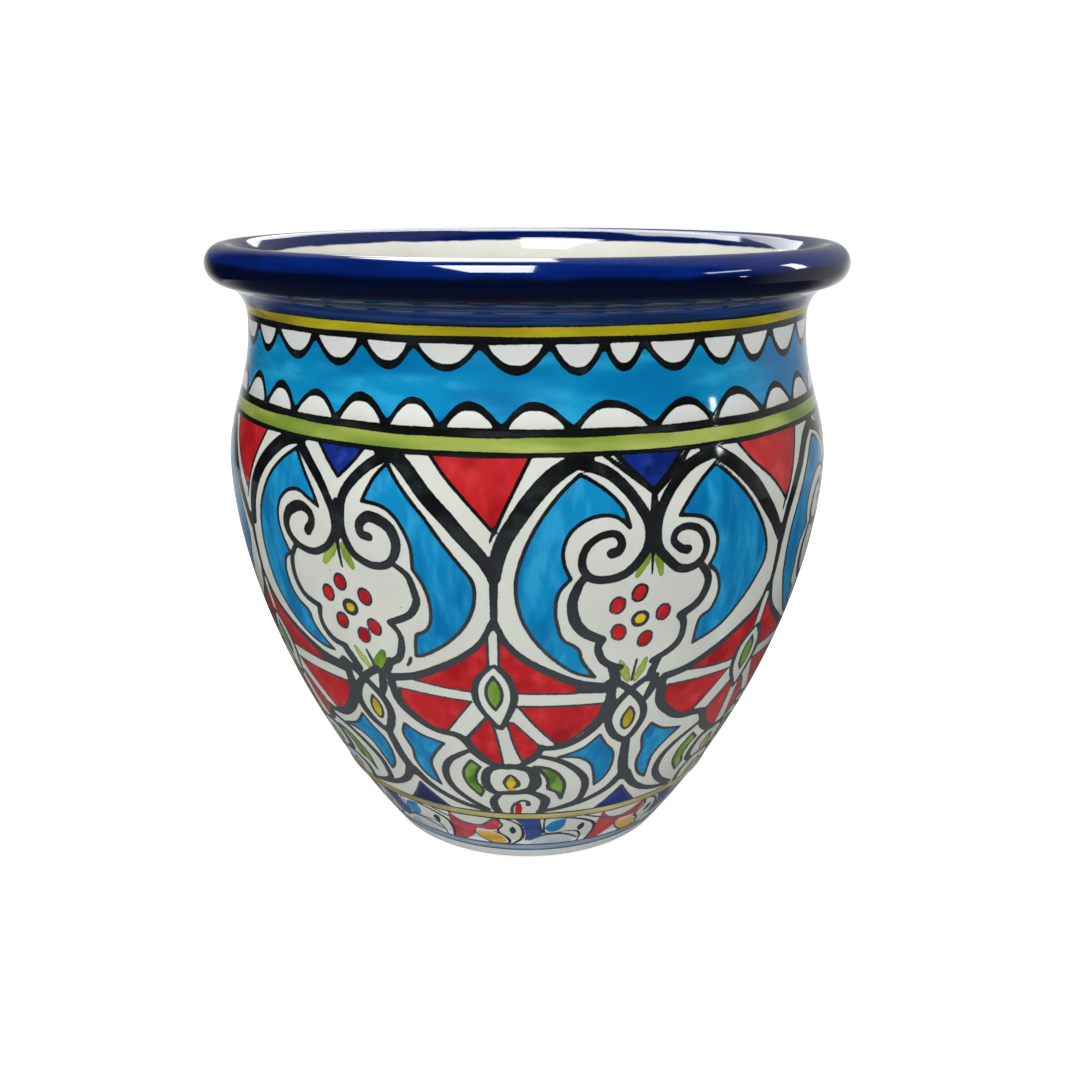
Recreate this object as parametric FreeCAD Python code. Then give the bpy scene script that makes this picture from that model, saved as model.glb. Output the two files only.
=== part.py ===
"""A round painted cachepot of glazed earthenware: one thrown and fired body, and the glazes laid on it.

The body is turned about the vertical axis. Its outside runs from the foot up a full belly to a narrow
neck, then out through a hollow cove to a thick rolled rim. Every glaze is a coat of even thickness on
that one outline, so each coat is cut from the same strip between two heights and turned about the axis.

Millimetres. +Z is up, and the origin is at the middle of the circle that the pot stands on.
"""
import FreeCAD, Part
import math
import os

# Outline of the pot, over its glaze
pot_height = 293.2
rim_radius = 150.0
rim_roll_radius = 8.9
rim_overhang = 17.4
neck_drop = 32.5
belly_radius = 145.2
belly_height = 192.0
foot_radius = 72.8

# Clay
wall_thickness = 7.5
foot_wall_thickness = 9.5
floor_thickness = 10.0
floor_corner_height = 10.0
floor_corner_width = 14.0
foot_ring_width = 9.0
foot_recess_depth = 4.0
foot_recess_draft = 2.0

# Glaze
glaze_coat = 0.6
glaze_clearance = 0.3
bare_foot_height = 1.6

# Widths of the painted zones, from the foot up to the line under the panel
foot_white_width = 6.4
foot_lines_width = 5.5
foot_frieze_width = 22.8
ochre_line_width = 3.7
ochre_bead_height = 0.7
narrow_zone_width = 9.0

# Widths of the painted zones, from the rim down to the line over the panel
cobalt_drop = 25.0
neck_upper_line_width = 0.6
neck_band_width = 3.7
neck_lower_line_width = 2.5
scallop_frieze_width = 32.4
green_upper_line_width = 2.8
green_band_width = 4.8
green_lower_line_width = 1.6

# How the wall bends between its stations: handles of its curves, as shares of their height and width
lower_wall_foot_rise_share = 0.305
lower_wall_foot_lean_share = 0.587
lower_wall_belly_share = 0.30
upper_wall_belly_share = 0.38
upper_wall_neck_share = 0.45
cove_neck_share = 0.35
cove_roll_share = 0.58
throat_share = 0.38
corner_share = 0.55

# Where the roll of the rim begins over the cove and ends inside the mouth, in degrees from outward
roll_start_angle = -77.0
lip_angle = 128.0

# Places that follow from the sizes above
neck_radius = rim_radius - rim_overhang
neck_height = pot_height - neck_drop
clay_inset = glaze_coat + glaze_clearance
roll_centre_radius = rim_radius - rim_roll_radius
roll_centre_height = pot_height - rim_roll_radius
floor_height = foot_recess_depth + floor_thickness
recess_radius = foot_radius - foot_ring_width - foot_recess_draft


def spot(radius, height):
    return FreeCAD.Vector(radius, 0, height)


def curve(start, start_handle, end_handle, end):
    bezier = Part.BezierCurve()
    bezier.setPoles([start, start_handle, end_handle, end])
    return bezier.toShape()


def line(start, end):
    return Part.LineSegment(start, end).toShape()


def roll_spot(angle, inset):
    """A point on the rolled rim, a given depth under its glazed surface."""
    radius = rim_roll_radius - inset
    turn = math.radians(angle)
    return spot(roll_centre_radius + radius * math.cos(turn), roll_centre_height + radius * math.sin(turn))


def roll_tangent(angle):
    turn = math.radians(angle)
    return FreeCAD.Vector(-math.sin(turn), 0, math.cos(turn))


def outside_edges(inset):
    """The outside from the foot to the lip, a given depth under the glazed surface."""
    foot = spot(foot_radius - inset, 0)
    belly = spot(belly_radius - inset, belly_height)
    neck = spot(neck_radius - inset, neck_height)
    belly_to_neck = neck_height - belly_height
    lean = spot(
        lower_wall_foot_lean_share * (belly_radius - foot_radius),
        lower_wall_foot_rise_share * belly_height,
    )
    lower_wall = curve(foot, foot + lean, belly - spot(0, lower_wall_belly_share * belly_height), belly)
    upper_wall = curve(
        belly,
        belly + spot(0, upper_wall_belly_share * belly_to_neck),
        neck - spot(0, upper_wall_neck_share * belly_to_neck),
        neck,
    )
    roll_start = roll_spot(roll_start_angle, inset)
    cove_height = roll_start.z - neck_height
    cove = curve(
        neck,
        neck + spot(0, cove_neck_share * cove_height),
        roll_start - roll_tangent(roll_start_angle) * (cove_roll_share * cove_height),
        roll_start,
    )
    middle_angle = (roll_start_angle + lip_angle) / 2
    roll = Part.Arc(roll_start, roll_spot(middle_angle, inset), roll_spot(lip_angle, inset)).toShape()
    return [lower_wall, upper_wall, cove, roll]


def inside_edges(inset):
    """The inside from the lip down to the middle of the floor, a given depth under its glaze."""
    lip = roll_spot(lip_angle, inset)
    neck = spot(neck_radius - wall_thickness + inset, neck_height)
    belly = spot(belly_radius - wall_thickness + inset, belly_height)
    corner_top_height = floor_height + floor_corner_height
    slope_share = lower_wall_foot_lean_share / lower_wall_foot_rise_share
    slope = slope_share * (belly_radius - foot_radius) / belly_height
    corner_radius = foot_radius + slope * corner_top_height - foot_wall_thickness
    corner_top = spot(corner_radius + inset, corner_top_height)
    corner_end = spot(corner_radius - floor_corner_width, floor_height - inset)
    throat_height = lip.z - neck_height
    throat = curve(
        lip,
        lip + roll_tangent(lip_angle) * (throat_share * throat_height),
        neck + spot(0, throat_share * throat_height),
        neck,
    )
    belly_to_neck = neck_height - belly_height
    upper_wall = curve(
        neck,
        neck - spot(0, upper_wall_neck_share * belly_to_neck),
        belly + spot(0, upper_wall_belly_share * belly_to_neck),
        belly,
    )
    wall_height = belly_height - corner_top_height
    lean = spot(
        lower_wall_foot_lean_share * (belly.x - corner_top.x),
        lower_wall_foot_rise_share * wall_height,
    )
    lower_wall = curve(
        belly,
        belly - spot(0, lower_wall_belly_share * wall_height),
        corner_top + lean,
        corner_top,
    )
    along_wall = FreeCAD.Vector(lean).normalize()
    corner = curve(
        corner_top,
        corner_top - along_wall * (corner_share * floor_corner_height),
        corner_end + spot(corner_share * floor_corner_width, 0),
        corner_end,
    )
    floor = line(corner_end, spot(0, floor_height - inset))
    return [throat, upper_wall, lower_wall, corner, floor]


def face_of(edges):
    return Part.Face(Part.Wire(Part.sortEdges(edges)[0]))


def turned(face):
    """The solid that a flat outline sweeps in one full turn about the pot's axis."""
    solids = face.revolve(FreeCAD.Vector(), FreeCAD.Vector(0, 0, 1), 360).Solids
    return solids[0] if len(solids) == 1 else Part.makeCompound(solids)


def ends_joined(first_edges, second_edges):
    """Two lines that close the strip between two runs of edges that go the same way."""
    first_start, first_end = first_edges[0].firstVertex().Point, first_edges[-1].lastVertex().Point
    second_start, second_end = second_edges[0].firstVertex().Point, second_edges[-1].lastVertex().Point
    return [line(first_start, second_start), line(first_end, second_end)]


def clay_outline():
    outside = outside_edges(clay_inset)
    inside = inside_edges(clay_inset)
    middle_of_floor = spot(0, floor_height - clay_inset)
    middle_of_recess = spot(0, foot_recess_depth)
    recess_edge = spot(recess_radius, foot_recess_depth)
    ring_inner_edge = spot(foot_radius - foot_ring_width, 0)
    ring_outer_edge = spot(foot_radius - clay_inset, 0)
    under = [
        line(middle_of_floor, middle_of_recess),
        line(middle_of_recess, recess_edge),
        line(recess_edge, ring_inner_edge),
        line(ring_inner_edge, ring_outer_edge),
    ]
    return face_of(outside + inside + under)


def outer_coat_outline():
    surface = outside_edges(0)
    under = outside_edges(glaze_coat)
    return face_of(surface + under + ends_joined(surface, under))


def inner_coat_outline():
    surface = inside_edges(0)
    under = inside_edges(glaze_coat)
    return face_of(surface + under + ends_joined(surface, under))


def zone_outline(coat, low, high):
    """The stretch of a coat between two heights."""
    reach = 2 * rim_radius
    corners = [spot(0, low), spot(reach, low), spot(reach, high), spot(0, high), spot(0, low)]
    return coat.common(Part.Face(Part.makePolygon(corners))).Faces[0]


def zone_corners(coat, low, high):
    """The corners of a narrow stretch of a coat: low inner, low outer, high outer, high inner."""
    corners = [vertex.Point for vertex in zone_outline(coat, low, high).Vertexes]
    rising = sorted(corners, key=lambda corner: corner.z)
    low_inner, low_outer = sorted(rising[:2], key=lambda corner: corner.x)
    high_inner, high_outer = sorted(rising[-2:], key=lambda corner: corner.x)
    return low_inner, low_outer, high_outer, high_inner


def straight_zone(coat, low, high):
    """The stretch of a coat between two heights, straight-sided because it is too narrow to show a bend."""
    low_inner, low_outer, high_outer, high_inner = zone_corners(coat, low, high)
    return Part.Face(Part.makePolygon([low_inner, low_outer, high_outer, high_inner, low_inner]))


def beaded_zone(coat, low, high):
    """The stretch of a coat between two heights, rounded outwards into a bead."""
    low_inner, low_outer, high_outer, high_inner = zone_corners(coat, low, high)
    along = FreeCAD.Vector(high_outer - low_outer).normalize()
    outward = FreeCAD.Vector(along.z, 0, -along.x)
    crest = (low_outer + high_outer) / 2 + outward * ochre_bead_height
    edges = [
        Part.Arc(low_outer, crest, high_outer).toShape(),
        line(high_outer, high_inner),
        line(high_inner, low_inner),
        line(low_inner, low_outer),
    ]
    return face_of(edges)


def zone_heights():
    """The lowest and highest edge of each painted zone of the outer coat, from the foot to the rim."""
    rising = [
        ("foot_white_glaze", foot_white_width),
        ("foot_line_glaze", foot_lines_width),
        ("foot_frieze_glaze", foot_frieze_width),
        ("ochre_line_glaze", ochre_line_width),
    ]
    falling = [
        ("upper_neck_line_glaze", neck_upper_line_width),
        ("yellow_neck_band_glaze", neck_band_width),
        ("lower_neck_line_glaze", neck_lower_line_width),
        ("scallop_frieze_glaze", scallop_frieze_width),
        ("upper_green_line_glaze", green_upper_line_width),
        ("green_band_glaze", green_band_width),
        ("lower_green_line_glaze", green_lower_line_width),
    ]
    zones = {}
    height = bare_foot_height
    for name, width in rising:
        zones[name] = (height, height + width)
        height += width
    panel_low = height
    height = pot_height - cobalt_drop
    for name, width in falling:
        zones[name] = (height - width, height)
        height -= width
    zones["main_panel_glaze"] = (panel_low, height)
    zones["cobalt_rim_glaze"] = (pot_height - cobalt_drop, pot_height + rim_roll_radius)
    return zones


def underside_glaze():
    """The thin coat on the ceiling of the hollow under the pot, inside the foot ring."""
    return Part.makeCylinder(recess_radius, glaze_coat, spot(0, foot_recess_depth - clay_inset))


def pot_pieces():
    clay = clay_outline()
    coat = outer_coat_outline()
    pieces = {"clay_body": turned(clay), "underside_glaze": underside_glaze()}
    pieces["interior_glaze"] = turned(inner_coat_outline())
    for name, (low, high) in zone_heights().items():
        if name == "ochre_line_glaze":
            zone = beaded_zone(coat, low, high)
        elif high - low < narrow_zone_width:
            zone = straight_zone(coat, low, high)
        else:
            zone = zone_outline(coat, low, high)
        pieces[name] = turned(zone)
    return pieces


os.makedirs("parts", exist_ok=True)
for node, shape in pot_pieces().items():
    shape.exportStep("parts/" + node + ".step")
    box = shape.BoundBox
    heights = (round(box.ZMin, 2), round(box.ZMax, 2))
    print(node, shape.isValid(), round(shape.Volume), "mm3, heights", heights)
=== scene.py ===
"""The looks of a painted earthenware cachepot: a thrown clay body under glazes brushed on zone by zone.

Metres, +Z up, with the origin at the middle of the circle that the pot stands on.
"""

import math

import bmesh
import bpy
import numpy as np
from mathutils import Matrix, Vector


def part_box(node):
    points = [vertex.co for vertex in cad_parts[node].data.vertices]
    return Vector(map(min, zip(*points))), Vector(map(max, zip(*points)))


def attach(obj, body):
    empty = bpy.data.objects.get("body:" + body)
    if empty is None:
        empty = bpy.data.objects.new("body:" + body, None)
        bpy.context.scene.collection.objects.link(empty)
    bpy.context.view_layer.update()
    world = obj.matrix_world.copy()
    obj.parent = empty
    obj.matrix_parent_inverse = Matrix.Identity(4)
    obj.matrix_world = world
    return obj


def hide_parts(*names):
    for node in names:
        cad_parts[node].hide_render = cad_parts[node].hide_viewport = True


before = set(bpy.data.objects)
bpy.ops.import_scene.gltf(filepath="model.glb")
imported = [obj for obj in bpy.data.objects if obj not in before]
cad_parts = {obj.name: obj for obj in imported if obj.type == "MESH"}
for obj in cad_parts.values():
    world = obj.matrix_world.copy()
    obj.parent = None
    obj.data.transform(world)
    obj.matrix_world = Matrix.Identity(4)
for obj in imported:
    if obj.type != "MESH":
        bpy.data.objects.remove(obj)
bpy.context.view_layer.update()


# The clay body is one thrown and fired piece: a foot ring, a leaning wall, a full belly, a neck and a
# rolled rim. Glaze covers all of it but the foot ring and the side of the hollow under the pot.
mm = 0.001
pot_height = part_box("cobalt_rim_glaze")[1].z
rim_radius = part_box("cobalt_rim_glaze")[1].x
belly_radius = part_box("main_panel_glaze")[1].x
belly_height = 192 * mm
foot_radius = 72.8 * mm
rim_roll_radius = 8.9 * mm
rim_overhang = 17.4 * mm
neck_drop = 32.5 * mm
wall_thickness = 7.5 * mm
foot_wall_thickness = 9.5 * mm
glaze_coat = 0.6 * mm
floor_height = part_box("interior_glaze")[0].z + glaze_coat
floor_corner_height = 10 * mm
floor_corner_width = 14 * mm
foot_ring_width = 9 * mm
foot_recess_depth = 4 * mm
foot_recess_draft = 2 * mm
foot_edge_round = 1.2 * mm
clay_depth = 0.75 * mm
clay_wall_start = 2.2 * mm
clay_wall_spacing = 4 * mm
clay_inside_spacing = 5 * mm
roll_start_angle = -77
lip_angle = 128
foot_lean_share, foot_rise_share = 0.587, 0.305
lower_belly_share, upper_belly_share = 0.30, 0.38
upper_neck_share, cove_neck_share = 0.45, 0.35
cove_roll_share, throat_share, corner_share = 0.58, 0.38, 0.55
clay_steps = 288
roll_points = 160
corner_points = 24
foot_edge_points = 6
doublings = 4
weld_distance = 0.001 * mm
sharpest_smooth_angle = math.radians(50)


def spot(radius, height):
    return np.array((radius, height), float)


def bezier(start, start_handle, end_handle, end, count=120):
    share = np.linspace(0, 1, count)[:, None]
    rest = 1 - share
    return (
        start * rest**3
        + 3 * start_handle * share * rest**2
        + 3 * end_handle * share**2 * rest
        + end * share**3
    )


def roll_tangent(angle):
    return spot(-math.sin(math.radians(angle)), math.cos(math.radians(angle)))


foot = spot(foot_radius, 0)
belly = spot(belly_radius, belly_height)
neck = spot(rim_radius - rim_overhang, pot_height - neck_drop)
belly_to_neck = neck[1] - belly[1]
lean = spot(foot_lean_share * (belly_radius - foot_radius), foot_rise_share * belly_height)
roll_angles = np.radians(np.linspace(roll_start_angle, lip_angle, roll_points))
roll_centre = spot(rim_radius - rim_roll_radius, pot_height - rim_roll_radius)
roll = roll_centre + rim_roll_radius * np.column_stack((np.cos(roll_angles), np.sin(roll_angles)))
cove_height = roll[0][1] - neck[1]
above_belly = spot(0, upper_belly_share * belly_to_neck)
below_neck = spot(0, upper_neck_share * belly_to_neck)
into_roll = roll_tangent(roll_start_angle) * cove_roll_share * cove_height
outside = np.vstack((
    bezier(foot, foot + lean, belly - spot(0, lower_belly_share * belly_height), belly)[:-1],
    bezier(belly, belly + above_belly, neck - below_neck, neck)[:-1],
    bezier(neck, neck + spot(0, cove_neck_share * cove_height), roll[0] - into_roll, roll[0])[:-1],
    roll,
))

lip = roll[-1]
inner_neck = neck - spot(wall_thickness, 0)
inner_belly = belly - spot(wall_thickness, 0)
corner_top_height = floor_height + floor_corner_height
corner_radius = foot_radius + lean[0] / lean[1] * corner_top_height - foot_wall_thickness
corner_top = spot(corner_radius, corner_top_height)
corner_end = spot(corner_radius - floor_corner_width, floor_height)
throat_height = lip[1] - neck[1]
above_inner_neck = spot(0, throat_share * throat_height)
off_lip = roll_tangent(lip_angle) * throat_share * throat_height
inner_wall_height = belly_height - corner_top_height
below_inner_belly = spot(0, lower_belly_share * inner_wall_height)
inner_lean = spot(foot_lean_share * (inner_belly[0] - corner_radius), foot_rise_share * inner_wall_height)
down_to_corner = inner_lean / np.linalg.norm(inner_lean) * corner_share * floor_corner_height
along_floor = spot(corner_share * floor_corner_width, 0)
inside = np.vstack((
    bezier(lip, lip + off_lip, inner_neck + above_inner_neck, inner_neck)[:-1],
    bezier(inner_neck, inner_neck - below_neck, inner_belly + above_belly, inner_belly)[:-1],
    bezier(inner_belly, inner_belly - below_inner_belly, corner_top + inner_lean, corner_top)[:-1],
    bezier(corner_top, corner_top - down_to_corner, corner_end + along_floor, corner_end, corner_points),
    spot(0, floor_height)[None],
))


def lengths_along(outline):
    return np.concatenate(([0], np.cumsum(np.linalg.norm(np.diff(outline, axis=0), axis=1))))


def stretch_of(outline, start, end, spacing, depth=0.0):
    """Evenly spaced points of an outline between two lengths along it, at a depth under its face."""
    lengths = lengths_along(outline)
    wanted = np.linspace(start, end, max(2, round((end - start) / spacing) + 1))
    tangents = np.gradient(outline, lengths, axis=0)
    tangents /= np.linalg.norm(tangents, axis=1)[:, None]
    surface = np.column_stack([np.interp(wanted, lengths, outline[:, i]) for i in (0, 1)])
    along = np.column_stack([np.interp(wanted, lengths, tangents[:, i]) for i in (0, 1)])
    outward = np.column_stack((along[:, 1], -along[:, 0]))
    return surface - depth * outward


def mesh_of(shape, name):
    """The mesh that a bmesh holds, when its shape is done."""
    mesh = bpy.data.meshes.new(name)
    shape.to_mesh(mesh)
    shape.free()
    return mesh


def placed(name, data):
    """A new object in the scene, at its origin."""
    thing = bpy.data.objects.new(name, data)
    bpy.context.scene.collection.objects.link(thing)
    return thing


def map_in_quarters(mesh, points, face_points):
    """Lays the quarters of a turned ring on a map, one over another, each a strip with its face on top."""
    vertex = np.empty(len(mesh.loops), np.int32)
    mesh.loops.foreach_get("vertex_index", vertex)
    rank = np.empty(len(mesh.vertices), np.float32)
    mesh.attributes["rank"].data.foreach_get("value", rank)
    place = np.empty(3 * len(mesh.vertices), np.float32)
    mesh.vertices.foreach_get("co", place)
    x, y, _ = place.reshape(-1, 3)[vertex].T
    turn = np.arctan2(y, x) / (math.pi / 2) % 4
    turn = np.where(turn > 4 - 1e-4, 0, turn).reshape(-1, 4)
    turn = np.where((turn < 0.5) & (turn.max(axis=1) > 3)[:, None], turn + 4, turn)
    quarter = np.floor(turn.mean(axis=1))[:, None]
    rank = rank[vertex].reshape(-1, 4)
    rank = np.where((rank == 0) & (rank.max(axis=1) == points - 1)[:, None], points, rank)
    face_top, face_bottom, back_bottom = 0.99, 0.09, 0.01
    up = np.interp(rank, (0, face_points - 1, points), (face_top, face_bottom, back_bottom))
    spots = np.stack(((turn - quarter).clip(0, 1), (quarter + up) / 4), 2)
    ring_map = mesh.uv_layers.new(name="OFBake")
    ring_map.uv.foreach_set("vector", spots.astype(np.float32).ravel())


def turned(name, profile, steps, closed=True, face_points=0):
    """A profile of (radius, height) points turned about the pot's axis: a ring, or closed on the axis.

    It is spun through one sector, and the sector is doubled until the turn is full. A ring whose first
    points are its painted face also gets a map, on which that face has most of the room."""
    shape = bmesh.new()
    rank = shape.verts.layers.float.new("rank")
    corners = [shape.verts.new((max(radius, 0), 0, height)) for radius, height in profile]
    for number, corner in enumerate(corners):
        corner[rank] = number
    pairs = list(zip(corners, corners[1:]))
    if closed:
        pairs.append((corners[-1], corners[0]))
    sides = [shape.edges.new(pair) for pair in pairs]
    sector = 2 * math.pi / 2**doublings
    bmesh.ops.spin(
        shape,
        geom=corners + sides,
        cent=(0, 0, 0),
        axis=(0, 0, 1),
        angle=sector,
        steps=round(steps / 2**doublings),
    )
    for doubling in range(doublings):
        copy = bmesh.ops.duplicate(shape, geom=[*shape.verts, *shape.edges, *shape.faces])
        copied = [part for part in copy["geom"] if isinstance(part, bmesh.types.BMVert)]
        turn = Matrix.Rotation(sector * 2**doubling, 3, "Z")
        bmesh.ops.rotate(shape, cent=(0, 0, 0), matrix=turn, verts=copied)
    bmesh.ops.remove_doubles(shape, verts=shape.verts, dist=weld_distance)
    bmesh.ops.recalc_face_normals(shape, faces=shape.faces)
    mesh = mesh_of(shape, name)
    if face_points:
        map_in_quarters(mesh, len(profile), face_points)
    mesh.attributes.remove(mesh.attributes["rank"])
    mesh.shade_smooth()
    mesh.set_sharp_from_angle(angle=sharpest_smooth_angle)
    return placed(name, mesh)


class Socket:
    """An output of a shader node. Arithmetic on it adds Math nodes, and node() adds any other node."""

    def __init__(self, tree, output=None):
        self.tree = tree
        self.output = output

    def node(self, kind, settings, values, output=0):
        made = self.tree.nodes.new(kind)
        for setting, value in settings.items():
            setattr(made, setting, value)
        for name, value in values.items():
            if isinstance(value, Socket):
                self.tree.links.new(value.output, made.inputs[name])
            else:
                made.inputs[name].default_value = value
        return Socket(self.tree, made.outputs[output] if made.outputs else None)

    def math(self, operation, first, second):
        return self.node("ShaderNodeMath", {"operation": operation}, {0: first, 1: second})

    def __add__(self, other):
        return self.math("ADD", self, other)

    __radd__ = __add__

    def __sub__(self, other):
        return self.math("SUBTRACT", self, other)

    def __rsub__(self, other):
        return self.math("SUBTRACT", other, self)

    def __mul__(self, other):
        return self.math("MULTIPLY", self, other)

    __rmul__ = __mul__

    def axis(self, name):
        """One of the three parts of a place, in metres."""
        return self.node("ShaderNodeSeparateXYZ", {}, {"Vector": self}, name)

    def above(self, edge, softness):
        """0 where this value is under the edge and 1 where it is over it, with a soft step between."""
        limits = {"From Min": edge - softness, "From Max": edge + softness}
        smooth_step = {"interpolation_type": "SMOOTHSTEP"}
        return self.node("ShaderNodeMapRange", smooth_step, {"Value": self, **limits})

    def between(self, low, high):
        """A colour between two others, by this value."""
        return self.node("ShaderNodeMix", {"data_type": "RGBA"}, {0: self, 6: low, 7: high}, 2)


def new_material(name):
    """A material without nodes, and the socket that tells its nodes where they are on the pot."""
    material = bpy.data.materials.new(name)
    material.use_nodes = True
    material.node_tree.nodes.clear()
    return material, Socket(material.node_tree).node("ShaderNodeTexCoord", {}, {}, "Object")


def clouds(place, size, drawn_out=(1, 1, 1), detail=3.0):
    """Cloudy variation from 0 to 1, in clouds of a size in metres that are drawn out along the axes."""
    scale = [1 / (size * share) for share in drawn_out]
    scaled = place.node("ShaderNodeMapping", {}, {"Vector": place, "Scale": scale})
    return place.node("ShaderNodeTexNoise", {}, {"Vector": scaled, "Scale": 1.0, "Detail": detail}, "Fac")


def close_material(place, colour, roughness, relief):
    """Ends a material: its colour, its roughness, and its relief in millimetres."""
    bump = place.node("ShaderNodeBump", {}, {"Height": relief, "Distance": mm}, "Normal")
    finish = {"Base Color": colour, "Roughness": roughness, "Normal": bump}
    surface = place.node("ShaderNodeBsdfPrincipled", {}, finish)
    place.node("ShaderNodeOutputMaterial", {}, {"Surface": surface})


clay_pale = (0.58, 0.33, 0.20, 1)
clay_dark = (0.42, 0.20, 0.11, 1)
clay_speck = (0.20, 0.10, 0.07, 1)
clay_material, place = new_material("fired clay")
clay_colour = clouds(place, 9 * mm, (1, 1, 0.4)).above(0.5, 0.2).between(clay_dark, clay_pale)
clay_grit = clouds(place, 0.9 * mm, detail=2.0)
clay_colour = clay_grit.above(0.70, 0.03).between(clay_colour, clay_speck)
clay_roughness = 0.75 + 0.15 * clay_grit
close_material(place, clay_colour, clay_roughness, 0.12 * clay_grit)

recess_radius = foot_radius - foot_ring_width - foot_recess_draft
ring_inner = foot_radius - foot_ring_width
ring_outer = foot_radius - clay_depth
outside_lengths = lengths_along(outside)
inside_length = lengths_along(inside)[-1]
clay_profile = [
    (0, foot_recess_depth),
    (recess_radius / 2, foot_recess_depth),
    (recess_radius, foot_recess_depth),
    *bezier(
        spot(ring_inner - 0.5 * foot_edge_round, foot_edge_round),
        spot(ring_inner, 0.3 * foot_edge_round),
        spot(ring_inner + 0.3 * foot_edge_round, 0),
        spot(ring_inner + foot_edge_round, 0),
        foot_edge_points,
    ),
    *bezier(
        spot(ring_outer - foot_edge_round, 0),
        spot(ring_outer - 0.3 * foot_edge_round, 0),
        spot(ring_outer, 0.3 * foot_edge_round),
        spot(ring_outer + 0.6 * foot_edge_round, foot_edge_round),
        foot_edge_points,
    ),
    *stretch_of(outside, clay_wall_start, outside_lengths[-1], clay_wall_spacing, clay_depth),
    *stretch_of(inside, 0, inside_length, clay_inside_spacing, clay_depth)[1:],
]
clay_body = turned("fired_clay_body", clay_profile, clay_steps, closed=False)
clay_body.data.materials.append(clay_material)
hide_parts("clay_body")
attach(clay_body, "root")


# The inside is glazed cream from the lip down over the floor, with faint curtains where the glaze ran as it
# melted. The rim's cobalt laps over its top edge, in a line as wavy as the dipping left it.
glaze_depth = 0.5 * mm
cream = (0.735, 0.735, 0.675, 1)
cream_thin = (0.69, 0.68, 0.61, 1)
pin_hole = (0.48, 0.41, 0.32, 1)
cobalt = (0.0006, 0.0080, 0.080, 1)
cobalt_thin = (0.0010, 0.0150, 0.145, 1)
lap_height = 286.2
lap_sway = 2.4
glaze_roughness = 0.07
wheel_ring_relief = 0.22
melt_run_relief = 0.035
inside_steps = 360
inside_spacing = 3 * mm
inside_back_spacing = 9 * mm


def glaze_relief(place):
    """The slow waves of a glazed wall, in millimetres: throwing rings and the run of the melted glaze."""
    rings = clouds(place, 26 * mm, (2.5, 2.5, 0.5), 1.0)
    runs = clouds(place, 9 * mm, (1, 1, 1.6), 1.0)
    return wheel_ring_relief * rings + melt_run_relief * runs


def height_on_pot(place):
    """How high a place is over the table, in millimetres."""
    return place.axis("Z") * (1 / mm)


def specks(place, size, rarity):
    """Small round spots, such as pin holes, rarer the nearer `rarity` is to 1."""
    return clouds(place, size, detail=0.0).above(rarity, 0.02)


cream_material, place = new_material("cream glaze")
cream_colour = clouds(place, 34 * mm, (1, 1, 2.5)).above(0.5, 0.22).between(cream, cream_thin)
cream_colour = specks(place, 1.3 * mm, 0.86).between(cream_colour, pin_hole)
height = height_on_pot(place)
lapped = (height + lap_sway * (clouds(place, 24 * mm, (1, 1, 3), 2.0) - 0.5)).above(lap_height, 0.5)
cream_colour = lapped.between(cream_colour, cobalt)
close_material(place, cream_colour, glaze_roughness, glaze_relief(place))

interior_profile = [
    *stretch_of(inside, 0, inside_length, inside_spacing),
    *stretch_of(inside, 0, inside_length, inside_back_spacing, glaze_depth)[::-1],
]
interior = turned("interior_cream_glaze", interior_profile, inside_steps)
interior.data.materials.append(cream_material)
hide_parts("interior_glaze")
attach(interior, "root")


# The hollow under the pot has a thin wash of the same cream glaze on its ceiling. It was wiped at the edge,
# so its rim is slightly rounded.
wiped_width = 0.4 * mm
wiped_round = spot(0.3 * mm, 0.2 * mm)
underside_low, underside_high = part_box("underside_glaze")
underside_radius = underside_high.x - wiped_width
underside_profile = [
    (0, underside_high.z),
    (underside_radius, underside_high.z),
    (underside_radius, underside_low.z + wiped_round[1]),
    (underside_radius - wiped_round[0], underside_low.z),
    (underside_radius / 2, underside_low.z),
    (0, underside_low.z),
]
underside_material, place = new_material("underside glaze")
underside_colour = clouds(place, 22 * mm).above(0.5, 0.2).between(cream, cream_thin)
underside_colour = specks(place, 1.3 * mm, 0.76).between(underside_colour, pin_hole)
wiped_roughness = 0.12
close_material(place, underside_colour, wiped_roughness, 0.1 * clouds(place, 12 * mm))
underside = turned("underside_cream_glaze", underside_profile, clay_steps, closed=False)
underside.data.materials.append(underside_material)
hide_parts("underside_glaze")
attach(underside, "root")


# The white zone over the bare foot is the pot's ground glaze, which lies under every colour on the
# outside: a cool white, a little grey where it is thin. It is painted whiter towards the neck and at the
# foot, as painted light for the brighter light that falls there.
ground = (0.612, 0.632, 0.574, 1)
ground_thin = (0.545, 0.570, 0.520, 1)
ground_painted_light = (0.800, 0.830, 0.830, 1)
painted_light_at_foot_below, foot_softness = 17, 2
painted_light_at_neck_above, neck_softness = 232, 4
painted_light_at_neck_share = 0.55
iron_speck = (0.30, 0.27, 0.22, 1)
coat_back_spacing = 8 * mm
ragged_size = 1.6 * mm
ragged_depth = 0.5
edge_softness = 0.16
streak_size = 7 * mm
patch_size = 16 * mm
uneven_above, uneven_softness = 0.56, 0.12
pooled_edge_width = 0.55
pooled_edge_share = 0.75
fading_sway = 60
fading_softness = 45
crest = int(np.argmax(outside[:, 1]))


def length_at(height):
    """How far up the outside a height lies, in metres along the wall."""
    return np.interp(height, outside[: crest + 1, 1], outside_lengths[: crest + 1])


def zone(node):
    """The lowest and highest edge of a painted zone of the outside."""
    low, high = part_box(node)
    return low.z, high.z


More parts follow.
